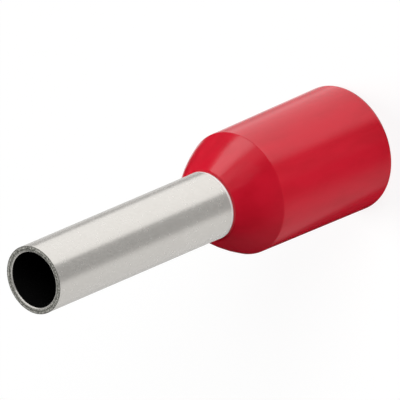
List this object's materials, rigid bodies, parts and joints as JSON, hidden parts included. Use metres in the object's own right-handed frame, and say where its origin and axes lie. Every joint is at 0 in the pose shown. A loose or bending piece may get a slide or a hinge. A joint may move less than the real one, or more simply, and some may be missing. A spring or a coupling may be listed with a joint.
{
  "type": "insulated wire ferrule",
  "caption": "Crimp ferrule for a stranded wire end: a plated metal barrel with a flared mouth, held in the nose of a tapered plastic collar.",
  "frame": {"origin": "centre of the collar's open end, on the surface that it stands on", "axes": "+Z along the axis of the bore, from the collar's open end to the tip of the barrel; X and Y are alike"},
  "size_m": [0.0032, 0.0032, 0.0113],
  "materials": {
    "tinned_copper": "satin tin plate on copper, faintly mottled",
    "red_polypropylene": "moulded, semi-gloss"
  },
  "bodies": {
    "root": {"metal_barrel": "tinned_copper", "insulating_collar": "red_polypropylene"}
  },
  "joints": []
}
